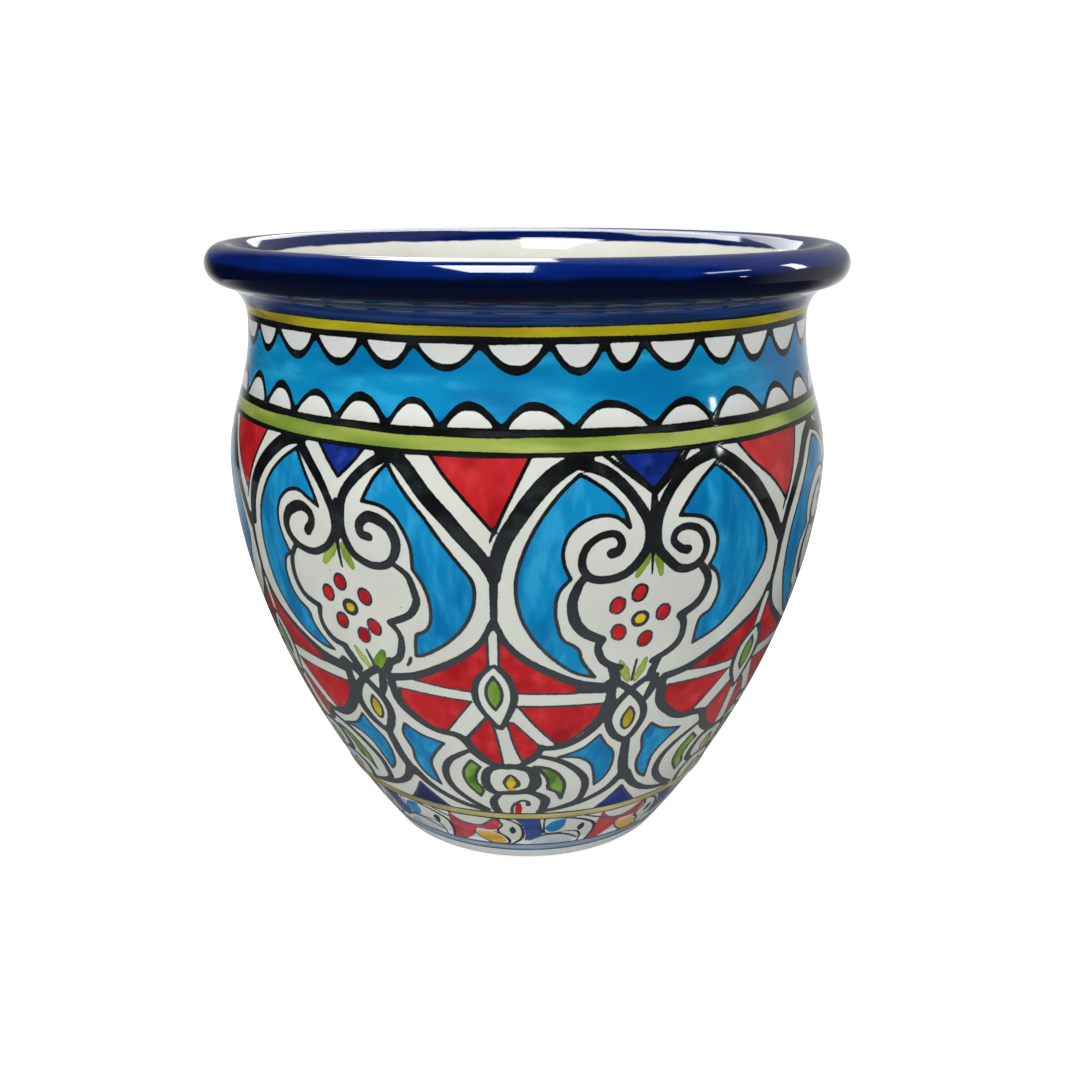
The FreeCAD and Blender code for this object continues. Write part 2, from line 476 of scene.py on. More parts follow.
def coat(name, node, spacing, steps, edges=None):
    """The glaze on a zone of the outside, or between two heights of it, with fine points on its face."""
    start, end = (length_at(height) for height in edges or zone(node))
    face = stretch_of(outside, start, end, spacing)
    back = stretch_of(outside, start, end, coat_back_spacing, glaze_depth)
    piece = turned(name, [*face, *back[::-1]], steps, face_points=len(face))
    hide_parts(node)
    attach(piece, "root")
    return piece


def ground_colour(place):
    colour = clouds(place, 30 * mm, (1, 1, 1.4)).above(0.5, 0.2).between(ground, ground_thin)
    height = height_on_pot(place)
    # Painted light: the ground is mixed whiter towards the neck and at the foot, where the pot shows more
    # light.
    neck_painted_light = painted_light_at_neck_share * height.above(painted_light_at_neck_above, neck_softness)
    colour = neck_painted_light.between(colour, ground_painted_light)
    colour = height.above(painted_light_at_foot_below, foot_softness).between(ground_painted_light, colour)
    return specks(place, 1.1 * mm, 0.87).between(colour, iron_speck)


def laid_over(place, under, relief, layer, tones, thickness, drawn_out=(1, 1, 1), faded=None):
    """One more paint over a colour: ragged at its edge, thin along brush streaks, deep where it pooled.

    A `faded` paint was laid on thinner lower down: a colour, and the height where it is half faded."""
    thin, full, deep = tones
    depth = place.node("ShaderNodeAttribute", {"attribute_name": layer}, {}, "Fac")
    edge = depth + ragged_depth * (clouds(place, ragged_size, detail=2.0) - 0.5)
    cover = edge.above(0.0, edge_softness)
    streaks = clouds(place, streak_size, drawn_out, 4.0)
    patches = clouds(place, patch_size, drawn_out, 2.0)
    tone = streaks.above(uneven_above, uneven_softness).between(full, thin)
    tone = patches.above(uneven_above, uneven_softness).between(tone, deep)
    pooled_edge = (1 - depth.above(pooled_edge_width, 0.45)) * streaks.above(0.42, 0.1)
    tone = (pooled_edge_share * pooled_edge).between(tone, deep)
    if faded:
        pale, half_height = faded
        uneven = height_on_pot(place) + fading_sway * (clouds(place, 30 * mm, detail=2.0) - 0.5)
        tone = (1 - uneven.above(half_height, fading_softness)).between(tone, pale)
    return cover.between(under, tone), relief + thickness * edge.above(0.1, 0.5)


def painted(name, *paints):
    """The ground glaze with paints brushed over it in turn, each laid_over()'s values from its layer on."""
    material, place = new_material(name)
    colour, relief = ground_colour(place), glaze_relief(place)
    for paint in paints:
        colour, relief = laid_over(place, colour, relief, *paint)
    close_material(place, colour, glaze_roughness, relief)
    return material


foot_white = coat("foot_white_zone", "foot_white_glaze", 1.2 * mm, 480)
foot_white.data.materials.append(painted("white ground glaze"))


# The foot has a grey-blue double line, drawn with a loaded brush while the pot turned on a wheel. The
# wash between the lines is paler.
slate_tones = ((0.130, 0.210, 0.310, 1), (0.060, 0.105, 0.185, 1), (0.030, 0.052, 0.100, 1))
pale_blue_tones = ((0.380, 0.480, 0.550, 1), (0.290, 0.400, 0.490, 1), (0.190, 0.290, 0.400, 1))
around = (3, 3, 1)


class Canvas:
    """The outer faces of some coats as one sheet round the pot, in degrees from the front and millimetres up
    the wall. It holds how deep each point lies in each paint, in millimetres, and below 0 outside of it."""

    blank = -6.0

    def __init__(self, *pieces):
        self.pieces = pieces
        self.faces = []
        angles, degrees, lengths = [], [], []
        for piece in pieces:
            places = np.empty(3 * len(piece.data.vertices), np.float32)
            piece.data.vertices.foreach_get("co", places)
            x, y, z = places.reshape(-1, 3).T
            radius = np.hypot(x, y)
            wall = np.interp(z, outside[: crest + 1, 1], outside[: crest + 1, 0])
            face = np.flatnonzero(radius > wall - 0.3 * glaze_depth)
            self.faces.append(face)
            angles.append(np.degrees(np.arctan2(x, -y))[face])
            degrees.append(radius[face] * math.radians(1) / mm)
            lengths.append(length_at(z[face]) / mm)
        self.angle = np.concatenate(angles)
        self.degree = np.concatenate(degrees)
        self.length = np.concatenate(lengths)
        self.layers = {}

    def layer(self, name):
        if name not in self.layers:
            self.layers[name] = np.full(len(self.angle), self.blank, np.float32)
        return self.layers[name]

    def seen_from_points(self, line):
        """The points near a line, and the line as it lies round each of them, in millimetres."""
        middle = (line[:, 0].min() + line[:, 0].max()) / 2
        half = line[:, 0].max() - middle
        turn = (self.angle - middle + 180) % 360 - 180
        beside = np.abs(turn) - half < -self.blank / self.degree
        over = self.length > line[:, 1].min() + self.blank
        under = self.length < line[:, 1].max() - self.blank
        near = np.flatnonzero(beside & over & under)
        across = (line[:, 0] - middle - turn[near, None]) * self.degree[near, None]
        up = line[:, 1] - self.length[near, None]
        return near, across, up

    def distances(self, across, up):
        """How far each point is from each part of its line, and at what share of that part it is nearest."""
        run, rise = np.diff(across, axis=1), np.diff(up, axis=1)
        size = run**2 + rise**2 + 1e-12
        share = np.clip(-(across[:, :-1] * run + up[:, :-1] * rise) / size, 0, 1)
        return np.hypot(across[:, :-1] + share * run, up[:, :-1] + share * rise), share

    def brush(self, name, line, widths):
        """A brush stroke along a line. Its width goes evenly from each value to the next, in millimetres."""
        near, across, up = self.seen_from_points(line)
        if len(near):
            along, given_at = np.linspace(0, 1, len(line)), np.linspace(0, 1, len(widths))
            halves = np.interp(along, given_at, widths) / 2
            distance, share = self.distances(across, up)
            depth = halves[:-1] * (1 - share) + halves[1:] * share - distance
            layer = self.layer(name)
            layer[near] = np.maximum(layer[near], depth.max(axis=1))

    def depth_inside(self, line):
        """The points near a closed line, and how deep each lies inside of it."""
        near, across, up = self.seen_from_points(line)
        if not len(near):
            return near, near
        distance, _ = self.distances(across, up)
        crosses = (up[:, :-1] > 0) != (up[:, 1:] > 0)
        rise = np.where(crosses, up[:, 1:] - up[:, :-1], 1)
        meets = across[:, :-1] - up[:, :-1] * (across[:, 1:] - across[:, :-1]) / rise
        inside_it = (crosses & (meets > 0)).sum(axis=1) % 2 == 1
        nearest = distance.min(axis=1)
        return near, np.where(inside_it, nearest, -nearest)

    def wash(self, name, line):
        """Paint inside a closed line."""
        near, depth = self.depth_inside(line)
        layer = self.layer(name)
        layer[near] = np.maximum(layer[near], depth)

    def reserve(self, name, line):
        """No paint inside a closed line, whatever was washed there."""
        near, depth = self.depth_inside(line)
        layer = self.layer(name)
        layer[near] = np.minimum(layer[near], -depth)

    def band(self, name, low, high, sway):
        """Paint all round the pot between two heights, with edges that sway, all in millimetres."""
        bottom = length_at(low * mm) / mm + sway * self.swaying(7, 0.4)
        top = length_at(high * mm) / mm + sway * self.swaying(5, 1.9)
        depth = np.minimum(self.length - bottom, top - self.length)
        layer = self.layer(name)
        np.maximum(layer, depth.clip(self.blank), out=layer)

    def swaying(self, turns, phase):
        """A slow wave round the pot, from -1 to 1."""
        angle = np.radians(self.angle)
        return 0.6 * np.sin(turns * angle + phase) + 0.4 * np.sin((3 * turns + 2) * angle + 2.3 * phase)

    def finish(self, name, *paints):
        """Writes the paints to the meshes, and gives these one material that lays them on in turn."""
        material = painted(name, *paints)
        for paint, *_ in paints:
            layer = self.layer(paint)
            start = 0
            for piece, face in zip(self.pieces, self.faces):
                values = np.full(len(piece.data.vertices), self.blank, np.float32)
                values[face] = layer[start : start + len(face)]
                start += len(face)
                attribute = piece.data.attributes.new(paint, "FLOAT", "POINT")
                attribute.data.foreach_set("value", values)
        for piece in self.pieces:
            piece.data.materials.append(material)


canvas = Canvas(coat("foot_double_line", "foot_line_glaze", 0.6 * mm, 600))
canvas.band("slate", 8.0, 9.4, 0.25)
canvas.band("slate", 12.9, 15.0, 0.25)
canvas.band("pale_blue", 7.0, 15.0, 0.3)
canvas.finish(
    "foot lines",
    ("pale_blue", pale_blue_tones, 0.02, around),
    ("slate", slate_tones, 0.03, around),
)


# The foot frieze is a narrow border of leaning leaves, seeds and drops under the ochre line. One painter's
# unit is repeated eight times round the foot, never quite the same twice.
black_tones = ((0.017, 0.021, 0.022, 1), (0.0055, 0.0070, 0.0075, 1), (0.0035, 0.0040, 0.0045, 1))
turquoise_tones = ((0.020, 0.290, 0.54, 1), (0.0040, 0.215, 0.455, 1), (0.0014, 0.140, 0.355, 1))
red_tones = ((0.54, 0.030, 0.032, 1), (0.44, 0.014, 0.018, 1), (0.31, 0.007, 0.011, 1))
navy_tones = ((0.015, 0.045, 0.28, 1), (0.0060, 0.021, 0.19, 1), (0.0030, 0.008, 0.07, 1))
gold_tones = ((0.86, 0.59, 0.140, 1), (0.78, 0.49, 0.070, 1), (0.55, 0.31, 0.025, 1))
washed_black_tones = ((0.050, 0.065, 0.080, 1), (0.020, 0.030, 0.040, 1), (0.011, 0.017, 0.023, 1))
washed_red_tones = ((0.55, 0.068, 0.072, 1), (0.45, 0.042, 0.052, 1), (0.33, 0.028, 0.038, 1))
washed_navy_tones = ((0.040, 0.090, 0.33, 1), (0.020, 0.052, 0.23, 1), (0.011, 0.028, 0.12, 1))
washed_blue_tones = ((0.58, 0.64, 0.66, 1), (0.50, 0.58, 0.62, 1), (0.36, 0.46, 0.54, 1))
hand = np.random.default_rng(21)
point_sway = 0.3
degrees_per_mm = 0.4
line_share_sway = 0.07
outline_share = 0.86


def smooth(points, closed=False, steps=6):
    """A smooth line through points of (angle, height in mm), with a sharp corner at one given twice."""
    points = np.array(points, float)
    if closed:
        points = np.vstack((points[-1:], points, points[:2]))
    else:
        points = np.vstack((points[:1], points, points[-1:]))
    share = (np.arange(steps) / steps)[:, None]
    runs = []
    for before, start, end, after in zip(points, points[1:], points[2:], points[3:]):
        if not np.allclose(start, end):
            leaving, arriving = (end - before) / 2, (after - start) / 2
            runs.append(
                start
                + leaving * share
                + (3 * (end - start) - 2 * leaving - arriving) * share**2
                + (2 * (start - end) + leaving + arriving) * share**3
            )
    return np.vstack((*runs, points[-2:-1]))


def on_wall(line):
    """A line of (angle, height in mm) as (angle, length up the wall in mm)."""
    return np.column_stack((line[:, 0], length_at(line[:, 1] * mm) / mm))


def by_hand(points, sway):
    """The points as a hand repeats them, each a little off its place, and a [sharp corner] twice."""
    moved = []
    for point in points:
        place = (point[0] + degrees_per_mm * hand.normal(0, sway), point[1] + hand.normal(0, sway))
        moved += [place] * (2 if isinstance(point, list) else 1)
    return moved


def paint_ornament(canvas, ornament, angle_of, sway):
    """Paints one repeat of an ornament: rows of a paint, its width in mm, and points of (angle, mm up).

    Several widths make a brush stroke. A single width, which may be 0, makes a field with an outline."""
    for paint, widths, points in ornament:
        is_field = np.isscalar(widths)
        line = smooth(by_hand(points, sway), is_field)
        line = on_wall(np.column_stack((angle_of(line[:, 0]), line[:, 1])))
        widths = np.atleast_1d(widths) * (1 + line_share_sway * hand.normal())
        if is_field:
            canvas.wash(paint, line)
            if widths.any():
                canvas.brush("black_line", line, outline_share * widths)
        else:
            canvas.brush(paint, line, widths)


foot_ornament = [
    ("red", 0, [[-23, 36.5], (-24.2, 24), [-25.4, 13], [-21.5, 13], (-17, 19.5), (-15.5, 25.5), (-14, 25.8),
     (-10, 26), (-8.2, 29.5), (-7.6, 34.5), [-8.4, 37], (-10.5, 33.5), (-14, 29.5), (-18, 29.3),
     (-21, 32.3)]),
    ("slate", (1.2, 1.6, 1), [(-28.5, 35.8), (-23.5, 31.8), (-18, 28.9), (-13.5, 29.2), (-9.2, 36.5)]),
    ("gold", 0, [[-15.6, 23.6], (-10.5, 23.3), (-7.4, 19.6), [-6.6, 14.3], (-11, 14.6), (-14.6, 18.4)]),
    ("black_line", (0.8, 1.8, 1), [(-10.2, 24.4), (-7, 21.2), (-5.6, 15.8), (-7.2, 13.7)]),
    ("slate", (0.9, 1.2, 0.9), [(-16.6, 23.5), (-15, 18.2), (-11.2, 14.2), (-7.5, 13.7)]),
    ("black_line", (1, 1.4, 1), [(-9.3, 37), (-7.3, 31), (-8.9, 25.6), (-7, 21)]),
    ("black_line", (1, 1.8, 1.4), [(-6.4, 36), (-2.6, 32), (-1.2, 25.6), (-1.9, 19), (-5, 13.8)]),
    ("black_line", 0, [[-4.4, 30.2], (-5.3, 26.8), (-4.7, 23.4), (-3.5, 24.6), (-3.4, 27.6)]),
    ("navy", 0, [[-4.2, 37], [3.6, 37], (4.2, 30), [5.2, 24], (2, 19.5), [-0.8, 17.6], (-0.5, 25),
     (-1.9, 32)]),
    ("turquoise", 0, [[5.1, 28], (7.2, 33.5), [11.2, 35.8], (11, 29.5), [9.6, 25.6], (7, 24.8)]),
    ("black_line", (0.8, 1.2, 0.8), [(5, 37), (4.9, 30.5), (5.7, 23.8), (10.6, 24)]),
    ("black_line", (1, 1.8, 1.8, 1.2), [(11.4, 35.5), (16, 33.1), (20.3, 27.8), (21, 20.8), (19.6, 14.3)]),
    ("black_line", (0.9, 1.3, 0.9), [(11, 24.6), (15.4, 23.2), (17, 19), (16.9, 13.8)]),
    ("black_line", 0, [[16.5, 30.3], (15.2, 26.8), (16.2, 23.6), (17.3, 25.6), (17.3, 28.4)]),
    ("slate", (1.4, 2.4, 1.4), [(0.8, 18), (4.5, 21.8), (8.5, 23.1), (12.6, 21.4), (16.2, 17.5)]),
    ("pale_blue", 0, [[0.6, 14.8], (4.4, 19), (8.5, 20.6), (12.4, 18.8), [15.6, 14.6], (8, 13.6)]),
]
foot_repeats = 8
canvas = Canvas(coat("foot_painted_frieze", "foot_frieze_glaze", 0.7 * mm, 840))
for repeat in range(foot_repeats):
    turn = 360 / foot_repeats * repeat
    paint_ornament(canvas, foot_ornament, lambda angle: angle + turn, 0.0 if repeat == 0 else point_sway)
canvas.band("slate", 13.0, 14.2, 0.25)
canvas.band("black_line", 35.6, 37.5, 0.35)
canvas.finish(
    "foot frieze",
    ("pale_blue", washed_blue_tones, 0.04),
    ("turquoise", turquoise_tones, 0.04),
    ("red", washed_red_tones, 0.04),
    ("navy", washed_navy_tones, 0.04),
    ("gold", gold_tones, 0.04),
    ("slate", slate_tones, 0.04),
    ("black_line", washed_black_tones, 0.04),
)


# The ochre line under the panel was trailed on thick, so it stands proud of the wall as a low bead.
ochre_bead_height = 0.7 * mm
ochre_spacing = 0.35 * mm
ochre_back_spacing = 2 * mm
ochre_steps = 600
ochre_tones = ((0.46, 0.42, 0.20, 1), (0.37, 0.33, 0.13, 1), (0.24, 0.20, 0.07, 1))
ochre_start, ochre_end = (length_at(height) for height in zone("ochre_line_glaze"))
ochre_face = stretch_of(outside, ochre_start, ochre_end, ochre_spacing)
ochre_out = ochre_face[-1] - ochre_face[0]
ochre_out = spot(ochre_out[1], -ochre_out[0]) / np.linalg.norm(ochre_out)
ochre_swell = np.sin(np.linspace(0, math.pi, len(ochre_face)))[:, None]
ochre_back = stretch_of(outside, ochre_start, ochre_end, ochre_back_spacing, glaze_depth)
ochre_profile = [*(ochre_face + ochre_swell * ochre_bead_height * ochre_out), *ochre_back[::-1]]
ochre_line = turned("ochre_bead_line", ochre_profile, ochre_steps, face_points=len(ochre_face))
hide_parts("ochre_line_glaze")
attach(ochre_line, "root")
canvas = Canvas(ochre_line)
canvas.band("ochre", 30, 46, 0.0)
canvas.band("black_line", 34, 37.0, 0.3)
canvas.finish(
    "ochre line",
    ("ochre", ochre_tones, 0.0, around),
    ("black_line", black_tones, 0.02, around),
)


# The main panel is a lattice of pointed arches. Each holds a white palmette with two curls and a flower on
# a turquoise leaf, over a red fan and a pair of bulbs. It is one coat, here as three rings of fine mesh.
thin_black = (0.045, 0.053, 0.059, 1)
green_tones = ((0.40, 0.46, 0.120, 1), (0.30, 0.37, 0.070, 1), (0.14, 0.23, 0.025, 1))
green_leaf_tones = ((0.22, 0.36, 0.055, 1), (0.13, 0.27, 0.030, 1), (0.055, 0.14, 0.015, 1))
yellow_tones = ((0.62, 0.47, 0.020, 1), (0.50, 0.38, 0.012, 1), (0.36, 0.25, 0.010, 1))

arch = [
    ("black_line", (5, 6.2, 6.2, 5.8, 5), [(9.5, 219.5), (6.7, 216.7), (3.6, 211.8), (0.7, 204.2),
     (-1.6, 196), (-3.5, 188), (-4.6, 180), (-5.2, 172)]),
    ("black_line", (5, 6.4, 7.2, 6.6, 5), [(30, 219.5), (32.5, 216.5), (36, 211), (40, 202), (43, 193),
     (46, 184), (48.6, 175)]),
    ("turquoise", 1.9, [[8.2, 213], (5.6, 207.5), (2.6, 198.3), (0.3, 188), (-1.4, 176), (-1.8, 166),
     (-1, 155), (1, 145), (4, 136), (8, 128), [12, 124.5], (9.5, 133), (8.5, 139.5), (6, 144), (5, 150),
     (4.5, 158), (5, 166), [6.8, 171.5], (5.7, 178), (5.6, 185), (7, 192), (10, 196.5), (13.5, 196.5),
     [16, 191.5], (15, 199), (12.5, 206), (10, 210.5)]),
    ("turquoise", 1.9, [[31.8, 213], (36, 204), (40, 193), (43.5, 180), (45, 168), (43, 158), (40, 149),
     (36, 140), [30.5, 134.5], (30.8, 146), (33, 150), (34, 158), (33, 166), [31, 171], (32, 176),
     (32, 183), (30.5, 189.5), (28, 193), [24.5, 194.5], (26, 200), (28.5, 207)]),
]
curls = [
    ("black_line", (5, 4.4, 4.2, 4, 3.6, 3.4, 3, 3.4, 4.4), [(7.5, 217.5), (12, 214), (15, 208),
     (17.5, 200), (19, 193), (19.3, 186), (18.5, 180), (16, 173), (13, 170.5), (10, 171.5), (8.5, 177),
     (9, 184), (11, 188.5), (13.5, 189.5), (14.7, 186), (14.3, 182.5), (13.2, 181.5)]),
    ("black_line", (5, 4.4, 4.2, 4, 3.6, 3.4, 3, 3, 4), [(32, 217.5), (27, 214), (23.5, 207), (21.2, 198),
     (20.5, 190), (21, 182), (23, 176), (25, 172), (27.5, 171.5), (29.5, 175), (29.9, 181), (28.5, 187),
     (26, 189.5), (24, 188), (23.6, 184), (25, 180.5), (26.3, 179.5)]),
    ("black_line", (2, 4.5, 3), [(20, 206), (20, 196), (20.1, 184)]),
    ("navy", 2.2, [[13.5, 221], [26, 221], (23, 212.5), [20, 205.5], (17, 212.5)]),
    ("black_line", (1.6, 2.2, 1.8), [(12, 220), (16, 212.5), (20, 204.5)]),
    ("black_line", (1.6, 2.2, 1.8), [(27, 220), (24.2, 213), (20.4, 204.5)]),
]
palmette = [
    ("black_line", (3, 4, 4.6, 4.2, 3.2, 3.4, 3), [(9, 172), (8, 168), (7.2, 161), (7.7, 153), (9.5, 147),
     [12.5, 143], (12, 139), (13, 133), (15, 129.5), (16.5, 128.5)]),
    ("black_line", (3.2, 4, 4.2, 4, 3.4, 3.8, 3.2), [(29, 172.5), (31, 166), (31, 160), (29.5, 154),
     [26.5, 150], (27.5, 146), (27.5, 139), (26, 134), (22.5, 129.5)]),
    ("black_line", (3, 4.6, 3.6), [(14.6, 130), (15.6, 125), (16.4, 120)]),
    ("black_line", (3, 4.6, 3.6), [(23.8, 130), (23, 125), (22.6, 120)]),
    ("green", (1.6, 5, 2.6), [(19.8, 181), (18.8, 177), (17.6, 171)]),
    ("green", (1.6, 4.4, 2.2), [(20.5, 181), (21.2, 177), (21.8, 170.5)]),
    ("black_line", (1.6, 0.9), [(20, 182), (20.1, 171)]),
    ("green", (1.6, 4.6, 1.6), [(18.4, 120.5), (17.4, 126), (16.3, 131.5)]),
    ("green", (2, 4.6, 2.4), [(19.8, 120.5), (20.6, 126), (21.2, 131)]),
    ("black_line", (1.2, 1.8), [(19.4, 131.5), (19.1, 121)]),
]


def blot(paint, angle, height, half_angle, half_height, lean_by, line_width):
    """A small round dab of the brush, leaning by some degrees of turn at its top."""
    around_it = [
        (0, 1), (0.75, 0.7), (1, -0.1), (0.6, -0.85), (-0.1, -1), (-0.8, -0.65), (-1, 0.15), (-0.65, 0.8)
    ]
    points = [
        (angle + half_angle * across + lean_by * up, height + half_height * up) for across, up in around_it
    ]
    return (paint, line_width, points)


def flower(heart, petals):
    """A yellow heart with red petals. Each petal is the place of its middle and how far it leans."""
    heart = blot("yellow", *heart, 1.30, 3.0, 0.1, 2.3)
    dabs = [blot("red", angle, height, 1.25, 3.6, lean_by, 1.3) for angle, height, lean_by in petals]
    return [heart, *dabs]


five_petals = flower(
    (18.9, 151.3),
    [(14.7, 158.5, 0.15), (18.3, 163.3, 0.2), (23, 153, 0.1), (20.3, 141.3, 0.25), (15.3, 146, -0.15)],
)
six_petals = flower(
    (-31.3, 151.3),
    [(-35.8, 155.8, 0.1), (-32.6, 162.4, 0.1), (-27.8, 157.8, -0.1), (-26.9, 144, -0.2), (-29.5, 138.8, 0.2),
     (-33.8, 143.7, 0.2)],
)

# The painter's other way with the palmette: the same strokes in the same order, with a fuller leaf.
other_palmette = [
    ("black_line", (4.6, 6.4, 6.8, 6.4, 5.6), [(-40.5, 219.8), (-44.6, 218.2), (-48.2, 213), (-51.6, 205),
     (-54.1, 196), (-55.5, 188), (-56.4, 178)]),
    ("black_line", (4.6, 6.4, 6.8, 6.8, 6.2, 5.2), [(-24.5, 219.8), (-21.3, 217.5), (-19, 213),
     (-15.8, 204), (-12.6, 196), (-9.8, 188), (-7, 180), (-5.4, 173)]),
    ("turquoise", 2, [[-41.8, 215.4], (-45, 210.4), (-48.2, 203), (-50.7, 194), (-52.5, 185), (-53.3, 175),
     (-53.4, 165), (-52.5, 151), (-50.7, 143), (-48.2, 136), (-45, 130.4), (-41.4, 126.7), [-38.2, 126.3],
     (-40.7, 132), (-42.1, 137.6), (-42.6, 143), (-44.8, 146.7), (-46.3, 152), (-46.8, 159.5), (-46.1, 166),
     [-44.3, 169.5], (-45.9, 176.7), (-46.6, 184), (-45.7, 192), (-43.2, 197.6), (-40.4, 199),
     (-37.9, 196.5), [-35.7, 194], (-37.1, 200.4), (-39.3, 207.6)]),
    ("turquoise", 2, [[-22.6, 215.2], (-20.9, 209.3), (-18.4, 202), (-15.9, 195), (-13.3, 186),
     (-11, 178.5), (-8.8, 171), (-8.3, 165), (-8.9, 156.7), (-10.7, 148.5), (-13.9, 140.4), (-17.9, 134),
     [-19.5, 133], (-19.3, 138.5), [-18.9, 143.5], (-16.8, 146.7), (-15.9, 152), (-15.9, 160.4),
     (-16.8, 167.6), [-18.3, 173.5], (-18.4, 182), (-19.3, 188.5), (-21.1, 195), (-23.4, 198.5),
     [-26.8, 199.5], (-25.9, 204), (-24.5, 210)]),
    ("black_line", (4.6, 4.4, 4, 4, 3.2, 3.4, 4.4, 5, 3.8, 4.6), [(-41, 217.5), (-38, 211), (-35.5, 205),
     (-33.8, 199), (-32.6, 193), (-32.3, 186), (-33.2, 181), (-35, 176.5), (-37.9, 173.5), (-41.4, 174.5),
     (-43.6, 178.5), (-44.2, 183.5), (-43, 189), (-40, 192.5), (-37.8, 190.5), (-37.5, 186.5),
     (-38.6, 182.4)]),
    ("black_line", (4.6, 4.2, 4, 3.6, 3.2, 3.4, 4.4, 4.6, 4, 3.6), [(-22.5, 218.5), (-25.7, 214),
     (-28.6, 207.5), (-30.5, 200.5), (-31, 193), (-30.9, 186), (-30, 180.5), (-28.6, 176), (-25.7, 173),
     (-22.9, 174), (-21.3, 178.5), (-20.9, 184), (-21.8, 189.5), (-23.6, 192.5), (-25.7, 193.5),
     (-27.3, 190), (-27.1, 186), (-25.7, 185)]),
    ("black_line", (3.6, 5.4, 3), [(-31.8, 197.5), (-31.7, 190), (-31.7, 183)]),
    ("navy", 2.2, [[-37.1, 221], [-26.8, 221], (-29, 214), [-31.6, 207.6], (-34.3, 214)]),
    ("black_line", (2.8, 3.4, 3.6, 3.6, 3, 4, 3.6), [(-42.1, 174.5), (-43.8, 168.5), (-44.3, 162),
     (-43.9, 156), (-42.3, 150.6), [-38.9, 147.6], (-39.5, 142), (-39.1, 136.7), (-37.4, 132),
     (-34.6, 130.4)]),
    ("black_line", (3, 4.2, 4.6, 4.2, 3.4, 4.8, 4.4), [(-21.4, 174.5), (-19.3, 170.4), (-18.4, 164),
     (-18.2, 158.5), (-19.8, 152.4), [-23.6, 147.6], (-22.1, 143), (-22, 137.6), (-22.9, 131),
     (-24.8, 127.6)]),
    ("black_line", (3.4, 4.4, 3.6), [(-35, 130), (-34, 126), (-32.7, 120.5)]),
    ("black_line", (3.6, 4.6, 3.6), [(-25, 128.5), (-25.8, 124.5), (-27.3, 120.5)]),
    ("black_line", (1.6, 1.8, 1), [(-20.6, 131.5), (-21.1, 129), (-21.7, 127)]),
    ("green", (1.6, 5, 3), [(-32.2, 180.5), (-33.6, 176), (-35.3, 170.5)]),
    ("green", (1.6, 4.4, 2.4), [(-31.2, 180), (-30.4, 175), (-29.4, 170.5)]),
    ("black_line", (2.2, 1.8, 1), [(-32, 184), (-31.9, 176), (-31.6, 169.5)]),
    ("green", (1.6, 4.6, 2), [(-29.4, 120.5), (-31, 126), (-32.3, 131.5)]),
    ("leaf_green", (2.4, 6.6, 3), [(-28.6, 120.5), (-27.4, 126), (-26.2, 132)]),
    ("black_line", (1.2, 1.9, 1.4), [(-29.8, 131.5), (-29.2, 127), (-28.8, 121.5)]),
]

